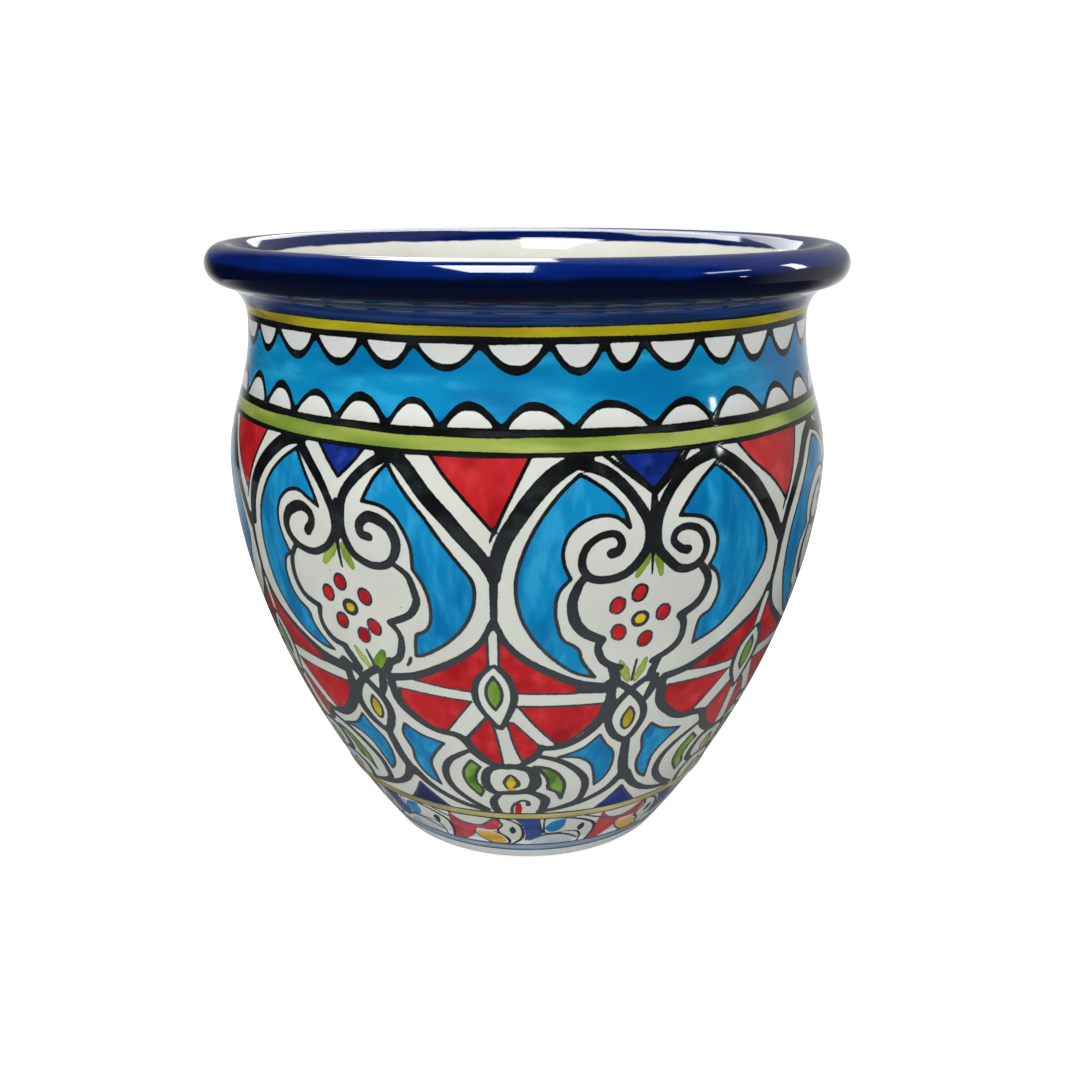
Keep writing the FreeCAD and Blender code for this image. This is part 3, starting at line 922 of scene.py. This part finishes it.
fan = [
    ("red", 1.6, [[-15.9, 221], [0.8, 221], (-1.7, 209), (-3.6, 199), [-5, 190.6], (-8.9, 201.5),
     (-12.9, 212)]),
    ("black_line", (1.6, 1.2), [(-4.9, 193), (-5.7, 187)]),
    ("black_line", (5, 3.8, 3.4), [(-5.2, 178), (-5.3, 163), (-5.4, 150)]),
    ("black_line", (3, 3.4, 4.2, 5), [(-5.2, 152), (-3.6, 143), (-0.8, 135.5), (4, 128), (9.5, 121.5),
     (15, 118.5)]),
    ("black_line", (3, 3.4, 4.2, 4.8), [(-5.8, 152), (-7.6, 143), (-10.8, 135.5), (-15.4, 128.5),
     (-20.5, 122.5), (-25.5, 119.5)]),
    ("red", 1.5, [[-4.7, 147], (-2.4, 139.5), (1.2, 131.8), (5.6, 125), [9.6, 119.8], [8.8, 116.8],
     [-2, 117.6], (-2.8, 125), [-4.8, 131.5]]),
    ("black_line", 0, [[8.5, 121], [15.5, 119], [14.3, 115.5], [9, 116.6]]),
    ("red", 1.5, [[-6.6, 147], (-9, 139.5), (-12.6, 132), (-17, 126), [-21.8, 120.6], (-15, 118.4),
     [-9.4, 117.2], (-8.6, 125), [-6.7, 131.5]]),
    ("red", 1.5, [[-1.7, 110.4], [14.2, 110], (13.7, 103.5), (11.6, 96.5), (8.7, 90.5), [5.8, 88.4],
     (1.8, 99)]),
    ("red", 1.5, [[-3.9, 101.8], [-2.6, 101], [2.6, 87.2], (1.2, 82), [-1.1, 77.8], (-2.7, 88.5)]),
    ("red", 1.5, [[-7.5, 104], (-6.3, 96), [-5.1, 74.4], (-8.2, 78.2), (-10.6, 84.5), [-11.9, 90.6]]),
    ("red", 1.5, [[-10.3, 112], [-24.4, 114.4], (-24.2, 107), (-22, 100.5), (-18.9, 95), [-16, 93.8]]),
    ("black_line", (1.6, 3.2, 3.4, 2.8, 2), [(-5.9, 131.5), (-8.7, 124.5), (-9.5, 116), (-8.4, 107.5),
     (-5.4, 97.8)]),
    ("black_line", (1.6, 2.8, 3.4, 2.8, 2.2), [(-5.7, 131.5), (-3.2, 124.5), (-2.3, 115.5), (-3.2, 107),
     (-5, 97.8)]),
    ("leaf_green", 1.6, [[-6, 126], (-7.3, 120), (-7.2, 113.5), [-5.9, 108], (-4.7, 113.5), (-4.7, 120)]),
    ("black_line", (4.4, 5, 4.2, 3.8, 3.6, 3.4), [(15.6, 119), (15.3, 109), (14.2, 100), (11.8, 93),
     (8.4, 87.8), (5, 86), (2.8, 86.4)]),
    ("black_line", (3.4, 3.6, 3), [(3, 86.8), (1.6, 80.5), (-1, 75.8)]),
    ("black_line", (4.6, 4.4, 3.4, 4.4, 5, 3.4, 3), [(-25.8, 119), (-25.4, 107), (-22.5, 98.6),
     (-18.6, 93.2), (-14.6, 92), (-12.7, 89), (-10.8, 82), (-8.2, 76.4), (-4.6, 73.6), (-1, 75.6)]),
    ("black_line", (1.2, 1.4), [(-7.6, 104.4), (-12.2, 91)]),
]
stem = [
    ("black_line", (3.6, 3.8, 4, 4, 3.6), [(15.4, 122.5), (19.2, 115.5), (22.4, 107), (23.4, 99),
     (22.3, 91), (20.9, 86)]),
    ("black_line", (3.6, 3.8, 4, 4.2, 3.6), [(23.2, 122.5), (19.3, 115.5), (16.6, 107), (16, 99),
     (17.7, 91), (20.5, 86)]),
    ("black_line", (3.4, 4.4, 3), [(14.6, 121), (15.6, 114), (16.2, 109)]),
    ("black_line", (3.4, 4.4, 3), [(24, 121), (23.6, 114), (22.8, 109)]),
    ("yellow", 1.7, [[20, 106.2], (18.9, 101), (19, 96), (20.1, 93.4), (21.2, 96.5), (21.2, 102)]),
    ("black_line", (4.4, 5, 5.6, 6), [(20.9, 87), (21.4, 79), (22, 71), (23.6, 61.5)]),
    ("black_line", (5, 3.8, 3.4, 2.6), [(22.8, 64), (20.2, 55.5), (15.4, 49), (9, 44.6), (3, 42.2)]),
    ("black_line", (5, 3.8, 3.4, 2.6), [(23.8, 64), (27, 55), (31.6, 48.4), (37, 44.4), (43, 42.2)]),
    ("navy", 1.8, [[24, 55], (21.5, 47.5), [18.2, 40], [30.6, 40], (27, 47.5)]),
    ("turquoise", 1.8, [[14.8, 92], (11.5, 84.5), [6.6, 80.2], (11, 78.8), (14, 74), (15.4, 66),
     [16.2, 58.8], (18.3, 64), (19.2, 72), (18.6, 80), (16.4, 86)]),
    ("turquoise", 1.8, [[26, 93.6], (29.5, 88.5), [34.6, 85.6], (31.6, 79), (29.6, 71.5), (29.8, 63),
     [30.2, 57], (27.3, 62), (25.6, 70), (25.8, 78), (24.8, 86), (25.4, 91)]),
]
bulbs = [
    ("leaf_green", 1.9, [[-12.2, 77], (-14.5, 69), (-14.2, 60.5), [-11.5, 52.5], (-10.6, 57.5),
     (-11.8, 62.5), (-11.5, 68.5), [-10.3, 73]]),
    ("leaf_green", 1.9, [[1.6, 74.6], (4.5, 73.2), (7, 69), (8.8, 61.5), [8.4, 51.5], (7, 56.5), (5, 59.2),
     (4.8, 64.5), (3.6, 70)]),
    ("black_line", (2.6, 3.6, 4, 3.6, 3), [(-12.6, 82.5), (-17, 75.5), (-19, 67), (-18.4, 57.5),
     (-15.2, 49.5), (-10.6, 43)]),
    ("black_line", (2.6, 3.4, 4, 4, 3.6, 2.6), [(2, 81.5), (7, 77.6), (11, 71), (13.6, 63), (13.8, 54.5),
     (12.4, 48.4), (6.4, 43.4)]),
    ("black_line", (2.6, 4, 4.6, 4.6, 3.4), [(-3.6, 74.8), (-8, 72.4), (-9.6, 65.5), (-9, 58.5),
     (-7.4, 55.6)]),
    ("black_line", (2.6, 4, 4.8, 3.4, 2.4), [(-4, 74.8), (0.4, 72.4), (1.9, 66), (1.4, 60.2), (-1.2, 57.2),
     (-6.5, 55.8)]),
    ("black_line", (3, 4, 4.4, 4), [(-6.6, 55.5), (-8.4, 50), (-8.2, 44.5), (-7.6, 41.5)]),
    ("black_line", (2, 3.6, 5, 4.4, 3.6), [(-2.8, 57.2), (1.4, 56.2), (4.4, 51.5), (4.2, 45.5),
     (3.4, 41.5)]),
    ("yellow", 0, [[-3.7, 67.6], (-5, 63.5), (-4.8, 58.6), (-3.4, 57.8), (-2.4, 60.4), (-2.4, 64)]),
    ("black_line", (1, 1.9, 1.6, 2.4, 1.6), [(-4.6, 59), (-5.3, 63.4), (-3.8, 68.4), (-2.2, 64.6),
     (-2.2, 61.5), (-3, 60.4)]),
    ("red", 0, [[-1.9, 49.4], (-3, 46.4), [-3.2, 40], [-1.6, 40], (-1.3, 46)]),
    ("black_line", (1.4, 1.8, 1.6, 2.6), [(-4, 40.5), (-3.8, 45.6), (-2.6, 49), (-1, 50.8), (0.2, 49.6),
     (0.3, 47.6)]),
]

panel_low, panel_high = zone("main_panel_glaze")
panel_tiers = [
    ("main_panel_lower", 880, (panel_low, 98 * mm)),
    ("main_panel_middle", 1040, (98 * mm, 158 * mm)),
    ("main_panel_upper", 1070, (158 * mm, panel_high)),
]
canvas = Canvas(*(
    coat(name, "main_panel_glaze", 0.85 * mm, steps, edges)
    for name, steps, edges in panel_tiers
))
front_axes = [-58, -31.6, -5.5, 20, 49]
back_axes = np.linspace(front_axes[-1], front_axes[0] + 360, 11)[:-1]
all_axes = np.concatenate((front_axes[:-1], back_axes))
all_axes = np.concatenate((all_axes, all_axes + 360))
palmette_left, palmette_right = 13.5, 11.5
panel_repeats = 7
steady_repeats = (0, 6)
other_repeats = (3, 6)


def anchors(repeat):
    """Where one repeat keeps its place: the axes of its fans, and both sides of its palmettes."""
    axes = all_axes[2 * repeat : 2 * repeat + 7]
    sides = [(axis - palmette_left, axis + palmette_right) for axis in axes[1::2]]
    return np.sort(np.concatenate((axes[::2], *sides)))


for repeat in range(panel_repeats):
    moved = anchors(repeat)
    sway = 0.0 if repeat in steady_repeats else point_sway
    if repeat in other_repeats:
        palmettes, drawn_at = other_palmette + six_petals, anchors(6) - 360
    else:
        palmettes, drawn_at = arch + curls + palmette + five_petals, anchors(0)
    paint_ornament(canvas, palmettes, lambda angle: np.interp(angle, drawn_at, moved), sway)
    paint_ornament(canvas, fan + stem + bulbs, lambda angle: np.interp(angle, anchors(0), moved), sway)
canvas.band("black_line", 38, 41.0, 0.35)
canvas.band("black_line", 219.2, 224, 0.3)
canvas.finish(
    "main panel",
    ("green", green_tones, 0.02),
    ("turquoise", turquoise_tones, 0.03, (0.7, 0.7, 2.2)),
    ("red", red_tones, 0.03, (1, 1, 1.3)),
    ("navy", navy_tones, 0.03),
    ("leaf_green", green_leaf_tones, 0.03, (0.5, 0.5, 1.5)),
    ("yellow", yellow_tones, 0.04),
    ("black_line", black_tones, 0.06, (1, 1, 1), (thin_black, 165)),
)


# The green band goes round the shoulder between two black lines. All three were drawn on the wheel, and
# the black ones sway a little over the green.
ring_steps = 900
wheel_drawn = (4, 4, 1)
canvas = Canvas(
    coat("shoulder_lower_black_line", "lower_green_line_glaze", 0.55 * mm, ring_steps),
    coat("shoulder_green_band", "green_band_glaze", 0.6 * mm, ring_steps),
    coat("shoulder_upper_black_line", "upper_green_line_glaze", 0.55 * mm, ring_steps),
)
canvas.band("green", 219, 230, 0.0)
canvas.band("black_line", 218, 221.2, 0.25)
canvas.band("black_line", 226.4, 232, 0.35)
canvas.finish(
    "green band",
    ("green", green_tones, 0.03, wheel_drawn),
    ("black_line", black_tones, 0.05, around),
)


# The scallop frieze round the neck is a turquoise band washed on in long wet strokes, with white scallops
# left bare above and below it, each under its own black line. A scallop is the angles of its two ends and
# its tip, and its tip's height.
hanging_scallops = [
    (-59.5, -52.5, -56.5, 253), (-50.5, -41.3, -45, 253), (-38.3, -30.5, -34.3, 252.5),
    (-27.5, -20.5, -23.8, 253), (-18, -9.5, -13.5, 253), (-5.7, 2.3, -1.7, 252.5), (5, 11.5, 8.5, 252),
    (14, 18.3, 16.2, 253), (21, 29, 25.7, 252), (32, 38.5, 35.8, 252.3), (41, 47.8, 44.3, 251.8),
    (50.5, 59.8, 55.3, 251),
]
standing_scallops = [
    (-64, -55, -59.5, 238.5), (-53.5, -45.5, -49.5, 237.5), (-43, -35, -39, 237), (-32.5, -25, -29, 237.8),
    (-22, -14.7, -19, 238), (-13.5, -5, -9.5, 236.8), (-3.2, 5.8, 1, 237), (9, 19, 13.3, 237.3),
    (23.3, 31.5, 27.4, 236.5), (34, 43.7, 38.5, 238), (47, 54.3, 50.3, 237), (57.5, 66, 61, 238),
]
# The frieze's turquoise is a lighter copy of the panel's: painted light, for the neck being lit more
# brightly.
frieze_painted_light_turquoise_tones = ((0.018, 0.345, 0.61, 1), (0.0030, 0.255, 0.515, 1), (0.0011, 0.170, 0.405, 1))
scallop_gap = 2.7
back_scallops = 22
scallop_half = ((0, 0), (0.17, 0.27), (0.40, 0.62), (0.68, 0.90))
scallop_line = 2.9
line_under_tip = 0.4
hanging_root, standing_root = 261.4, 229.0
scallop_line_swell = np.array((1.3, 0.8, 0.9, 1.2, 0.9, 0.8, 1.3))


def with_back(scallops):
    """The scallops that show, and as many more as go round the back, of widths that vary as those do."""
    start = scallops[-1][1] + scallop_gap
    free = scallops[0][0] + 360 - start
    widths = hand.uniform(0.8, 1.25, back_scallops)
    widths *= (free - scallop_gap * back_scallops) / widths.sum()
    heights = [scallop[3] for scallop in scallops]
    made = []
    for width in widths:
        middle = start + width * hand.uniform(0.44, 0.56)
        made.append((start, start + width, middle, hand.choice(heights)))
        start += width + scallop_gap
    return scallops + made


def scallop_lines(scallops, root, out):
    """The line round each scallop. It meets the next one's in a point, midway in the gap between them."""
    befores, afters = scallops[-1:] + scallops[:-1], scallops[1:] + scallops[:1]
    for before, (left, right, middle, tip), after in zip(befores, scallops, afters):
        first = left - ((left - before[1]) % 360) / 2
        last = right + ((after[0] - right) % 360) / 2
        rise = tip + out * line_under_tip * scallop_line - root
        half = [(first + across * (middle - first), root + up * rise) for across, up in scallop_half]
        other_half = [(last + across * (middle - last), root + up * rise) for across, up in scallop_half]
        yield smooth(half[:1] + half + [(middle, root + rise)] + other_half[::-1] + other_half[:1])


canvas = Canvas(coat("scallop_frieze", "scallop_frieze_glaze", 0.8 * mm, 1008))
canvas.band("turquoise", 229.0, 262.5, 0.0)
for scallops, root, out in ((hanging_scallops, hanging_root, -1), (standing_scallops, standing_root, 1)):
    for line in scallop_lines(with_back(scallops), root, out):
        canvas.reserve("turquoise", on_wall(np.vstack((line, line[:1]))))
        widths = scallop_line * scallop_line_swell * hand.uniform(0.85, 1.15)
        canvas.brush("black_line", on_wall(line), widths)
canvas.band("black_line", 227, 229.7, 0.35)
canvas.band("black_line", 260.9, 264, 0.3)
canvas.finish(
    "scallop frieze",
    ("turquoise", frieze_painted_light_turquoise_tones, 0.03, around),
    ("black_line", black_tones, 0.06),
)


# The neck carries a yellow band between two thin black lines, drawn on the wheel. The cobalt runs down to
# the upper line.
neck_yellow_tones = ((0.46, 0.40, 0.014, 1), (0.38, 0.325, 0.0097, 1), (0.27, 0.21, 0.008, 1))
canvas = Canvas(
    coat("neck_lower_black_line", "lower_neck_line_glaze", 0.55 * mm, ring_steps),
    coat("neck_yellow_band", "yellow_neck_band_glaze", 0.55 * mm, ring_steps),
    coat("neck_upper_black_line", "upper_neck_line_glaze", 0.3 * mm, ring_steps),
)
canvas.band("yellow", 260, 270, 0.0)
canvas.band("black_line", 260, 263.8, 0.3)
canvas.band("black_line", 267.5, 270, 0.15)
canvas.finish(
    "yellow band",
    ("yellow", neck_yellow_tones, 0.03, wheel_drawn),
    ("black_line", black_tones, 0.05, around),
)


# The cobalt rim is the thickest coat. It was poured over the roll and broke thinner along the crest. The
# roll's lower half is painted near-black, as painted shade and painted dark reflection. The cove under it is
# painted a lighter streaked blue, partly thin glaze and partly painted sheen. Throwing rings show through
# the lower roll and the cove.
cobalt_painted_shade = (0.0005, 0.0024, 0.0140, 1)
cove_blue = (0.0035, 0.0180, 0.0850, 1)
cove_painted_sheen = (0.0150, 0.0480, 0.1750, 1)
painted_shade_below = 286.6
cove_below = 276
edge_sway = 4.5
painted_shade_share = 0.97
sheen_streak_share = 0.8
rim_roughness = 0.06
rim_steps = 720
rim_spacing = 0.9 * mm
rim_back_spacing = 2.5 * mm
rim_start, rim_end = length_at(zone("cobalt_rim_glaze")[0]), outside_lengths[-1]
rim_face = stretch_of(outside, rim_start, rim_end, rim_spacing)
rim_back = stretch_of(outside, rim_start, rim_end, rim_back_spacing, glaze_depth)
rim = turned("cobalt_rim", [*rim_face, *rim_back[::-1]], rim_steps, face_points=len(rim_face))
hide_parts("cobalt_rim_glaze")
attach(rim, "root")
cobalt_material, place = new_material("cobalt glaze")
cobalt_colour = clouds(place, 12 * mm, (3, 3, 0.6), 4.0).above(0.52, 0.2).between(cobalt, cobalt_thin)
height = height_on_pot(place)
wavy_height = height + edge_sway * (clouds(place, 30 * mm, (1.2, 1.2, 0.5), 2.0) - 0.5)
# Painted shade: below about the roll's middle the cobalt is darkened to near-black, for shade and a dark
# reflection.
roll_painted_shade = 1 - wavy_height.above(painted_shade_below, 1.1)
cobalt_colour = (painted_shade_share * roll_painted_shade).between(cobalt_colour, cobalt_painted_shade)
# Painted sheen: the cove's lighter blue and its light streaks stand partly for thin glaze, partly for
# reflected light.
streaks = clouds(place, 7 * mm, (8, 8, 0.22), 3.0).above(0.54, 0.10)
cove_colour = (sheen_streak_share * streaks).between(cove_blue, cove_painted_sheen)
cobalt_colour = (1 - wavy_height.above(cove_below, 2.0)).between(cobalt_colour, cove_colour)
throwing_rings = roll_painted_shade * clouds(place, 5 * mm, (30, 30, 0.35), 0.0)
cobalt_relief = 0.7 * glaze_relief(place) + 0.06 * throwing_rings
close_material(place, cobalt_colour, rim_roughness, cobalt_relief)
rim.data.materials.append(cobalt_material)


# The studio: a white floor and a bright world behind the pot, and soft lamps over it and in front of it. The
# glossy glaze mirrors a dim room with bright windows, which the camera doesn't see.
floor_reach = 6.0
round_segments = 96
floor_white = (0.80, 0.80, 0.80, 1)
white_light = (1, 1, 1, 1)
floor_backing = 0.72
room_light = 0.54
shape = bmesh.new()
bmesh.ops.create_circle(shape, cap_ends=True, radius=floor_reach, segments=round_segments)
floor_mesh = mesh_of(shape, "studio_floor")
studio_floor = placed("studio_floor", floor_mesh)


def ray_is(tree, *kinds):
    """1 for the kinds of ray that are named, and 0 for the others."""
    return sum(tree.node("ShaderNodeLightPath", {}, {}, f"Is {kind} Ray") for kind in kinds)


floor_material, place = new_material("white floor")
lit = place.node("ShaderNodeBsdfDiffuse", {}, {"Color": floor_white})
strength = floor_backing * ray_is(place, "Camera", "Glossy", "Transmission")
backing = place.node("ShaderNodeEmission", {}, {"Color": white_light, "Strength": strength})
surface = place.node("ShaderNodeAddShader", {}, {0: lit, 1: backing})
place.node("ShaderNodeOutputMaterial", {}, {"Surface": surface})
floor_mesh.materials.append(floor_material)

world = bpy.data.worlds.new("studio")
bpy.context.scene.world = world
world.use_nodes = True
world.node_tree.nodes.clear()
sky = Socket(world.node_tree)
strength = room_light + (1 - room_light) * ray_is(sky, "Camera", "Glossy", "Transmission")
background = sky.node("ShaderNodeBackground", {}, {"Color": white_light, "Strength": strength})
sky.node("ShaderNodeOutputWorld", {}, {"Surface": background})


def softbox(name, place, aim, size, radiance):
    """A rectangular lamp at a place, turned to a point, of a brightness as seen where white is 1."""
    lamp = bpy.data.lights.new(name, "AREA")
    lamp.shape = "RECTANGLE"
    lamp.size, lamp.size_y = size
    lamp.energy = radiance * size[0] * size[1] * math.pi
    box = placed(name, lamp)
    box.location = place
    away = Vector(place) - Vector(aim)
    box.rotation_euler = away.to_track_quat("Z", "Y").to_euler()
    box.visible_camera = False
    return box


softbox("overhead_softbox", (-0.167, -0.49, 1.29), (-0.167, -0.49, 0.0), (0.39, 0.75), 10)
softbox("front_fill", (-0.22, -1.95, 0.9), (0, 0, 0.12), (1.5, 1.0), 2.9)
windows = [
    softbox("overhead_glow", (-0.167, -0.49, 1.28), (-0.167, -0.49, 0.0), (0.39, 0.75), 11),
    softbox("high_window_behind", (-0.13, 0.46, 1.02), (-0.06, -0.10, 0.29), (0.38, 0.45), 9),
    softbox("window_behind", (-0.12, 0.85, 0.74), (0, 0, 0.29), (0.33, 0.50), 3.5),
    softbox("right_window", (0.785, 0.13, 0.57), (0, 0, 0.29), (0.10, 0.19), 12),
    softbox("right_front_window", (0.74, -0.29, 0.65), (0, 0, 0.29), (0.26, 0.06), 10),
    softbox("right_flash", (0.835, -0.31, 0.385), (0.074, -0.114, 0.235), (0.040, 0.022), 22),
]
for window in windows:
    window.visible_diffuse = False


def mirrored_only(name, shape, colour_at):
    """A piece of the room that only the glaze mirrors. Its brightness comes from a place on it."""
    mesh = mesh_of(shape, name)
    backdrop = placed(name, mesh)
    material, place = new_material(name)
    glow = place.node("ShaderNodeEmission", {}, {"Color": white_light, "Strength": colour_at(place)})
    place.node("ShaderNodeOutputMaterial", {}, {"Surface": glow})
    mesh.materials.append(material)
    backdrop.visible_camera = False
    backdrop.visible_diffuse = False
    backdrop.visible_transmission = False
    backdrop.visible_shadow = False


room_radius = 0.95
room_height = 2.0
room_gloom = 0.012
side_glow = 0.36
backdrop_glow = 0.45
carpet_height = 0.002
carpet_inner_radius = 0.06
carpet_gloom = 0.05
near_pot_glow = 0.11
behind_glow = 0.45


def wall_brightness(place):
    """Dim in front and at the left, brighter at the right, and bright low behind, where the backdrop is."""
    across, back, height = place.axis("X"), place.axis("Y"), place.axis("Z")
    backdrop = back.above(0.70, 0.15) * (1 - height.above(0.30, 0.08))
    side = (back + 0.6 * across).above(0.42, 0.25)
    return room_gloom + side_glow * side + backdrop_glow * backdrop


def carpet_brightness(place):
    """Dim and uneven like the room, a little brighter near the pot, and bright far behind it."""
    distance = place.node("ShaderNodeVectorMath", {"operation": "LENGTH"}, {0: place}, "Value")
    back = place.axis("Y")
    uneven = 0.3 + 1.3 * clouds(place, 120 * mm, (1, 1, 1), 1.0)
    near_pot = 1 - distance.above(0.22, 0.10)
    return (carpet_gloom + near_pot_glow * near_pot) * uneven + behind_glow * back.above(0.40, 0.20)


shape = bmesh.new()
bmesh.ops.create_cone(
    shape,
    cap_ends=True,
    segments=round_segments,
    radius1=room_radius,
    radius2=room_radius,
    depth=room_height,
)
bmesh.ops.translate(shape, vec=(0, 0, room_height / 2 + carpet_height), verts=shape.verts)
floor_side = [face for face in shape.faces if face.calc_center_median().z < 0.1]
bmesh.ops.delete(shape, geom=floor_side, context="FACES")
mirrored_only("studio_room", shape, wall_brightness)

shape = bmesh.new()
bmesh.ops.create_circle(shape, radius=carpet_inner_radius, segments=round_segments)
edge = bmesh.ops.extrude_edge_only(shape, edges=shape.edges[:])["geom"]
outer = [part for part in edge if isinstance(part, bmesh.types.BMVert)]
bmesh.ops.scale(shape, vec=(room_radius / carpet_inner_radius,) * 2 + (1,), verts=outer)
bmesh.ops.translate(shape, vec=(0, 0, carpet_height), verts=shape.verts)
mirrored_only("studio_carpet", shape, carpet_brightness)

looking_down = math.radians(17.665)
camera_data = bpy.data.cameras.new("camera")
camera_data.lens = 37.5
camera_data.sensor_width = 36
camera_data.shift_x = 0.0119
camera = placed("camera", camera_data)
camera.location = (0, -0.5562, 0.3192)
camera.rotation_euler = (math.pi / 2 - looking_down, 0, 0)
bpy.context.scene.camera = camera
bpy.context.scene.view_settings.view_transform = "Standard"
